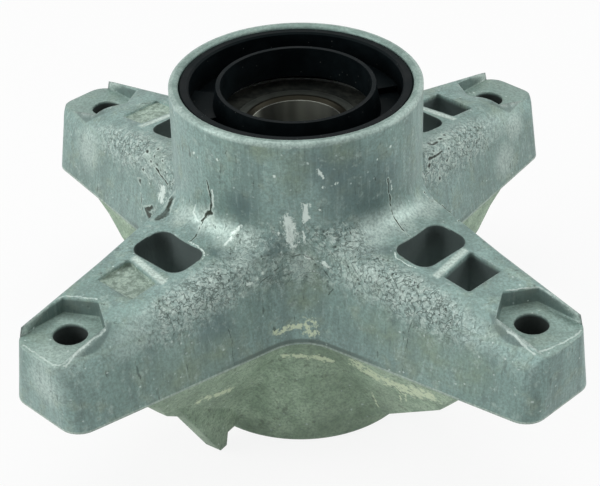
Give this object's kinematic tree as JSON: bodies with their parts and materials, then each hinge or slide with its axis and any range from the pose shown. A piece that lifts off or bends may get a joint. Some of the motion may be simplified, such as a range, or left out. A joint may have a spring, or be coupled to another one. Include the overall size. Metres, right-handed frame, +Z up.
{
  "type": "mower deck spindle housing",
  "caption": "Cast spindle housing with splayed bolt arms, sealed ball bearings in its hub and a rubber seal in the top recess, for carrying a mower blade shaft.",
  "frame": {"origin": "on the spindle axis, at the foot of the lower boss", "axes": "+Z up along the spindle axis towards the sealed top; the arms point halfway between the X and Y axes; -Y faces the camera"},
  "size_m": [0.1448, 0.1452, 0.0954],
  "materials": {
    "cast_aluminium": "cast, worn and stained",
    "seal_rubber": "moulded, satin",
    "shield_rubber": "dusty",
    "bearing_steel": "ground",
    "cage_plastic": "moulded",
    "spacer_steel": "drawn tube"
  },
  "bodies": {
    "housing": {"housing": "cast_aluminium", "upper_seal": "seal_rubber", "upper_outer_ring": "bearing_steel", "lower_outer_ring": "bearing_steel", "upper_shield_top": "shield_rubber", "upper_shield_bottom": "shield_rubber", "lower_shield_top": "shield_rubber", "lower_shield_bottom": "shield_rubber"},
    "upper_inner": {"upper_inner_ring": "bearing_steel"},
    "upper_cage": {"upper_cage": "cage_plastic", "upper_ball_1": "bearing_steel", "upper_ball_2": "bearing_steel", "upper_ball_3": "bearing_steel", "upper_ball_4": "bearing_steel", "upper_ball_5": "bearing_steel", "upper_ball_6": "bearing_steel", "upper_ball_7": "bearing_steel", "upper_ball_8": "bearing_steel", "upper_ball_9": "bearing_steel"},
    "lower_inner": {"lower_inner_ring": "bearing_steel", "spacer": "spacer_steel"},
    "lower_cage": {"lower_cage": "cage_plastic", "lower_ball_1": "bearing_steel", "lower_ball_2": "bearing_steel", "lower_ball_3": "bearing_steel", "lower_ball_4": "bearing_steel", "lower_ball_5": "bearing_steel", "lower_ball_6": "bearing_steel", "lower_ball_7": "bearing_steel", "lower_ball_8": "bearing_steel", "lower_ball_9": "bearing_steel"}
  },
  "joints": [
    {"name": "upper_spin", "type": "hinge", "parent": "housing", "child": "upper_inner", "pos_m": [0, 0, 0.0756], "axis": [0, 0, 1], "continuous": true},
    {"name": "upper_cage_spin", "type": "hinge", "parent": "housing", "child": "upper_cage", "pos_m": [0, 0, 0.0756], "axis": [0, 0, 1], "continuous": true},
    {"name": "lower_spin", "type": "hinge", "parent": "housing", "child": "lower_inner", "pos_m": [0, 0, 0.0115], "axis": [0, 0, 1], "continuous": true},
    {"name": "lower_cage_spin", "type": "hinge", "parent": "housing", "child": "lower_cage", "pos_m": [0, 0, 0.0115], "axis": [0, 0, 1], "continuous": true}
  ],
  "couplings": [
    {"joint": "upper_cage_spin", "follows": "upper_spin", "ratio": 0.3982},
    {"joint": "lower_cage_spin", "follows": "lower_spin", "ratio": 0.3982}
  ]
}
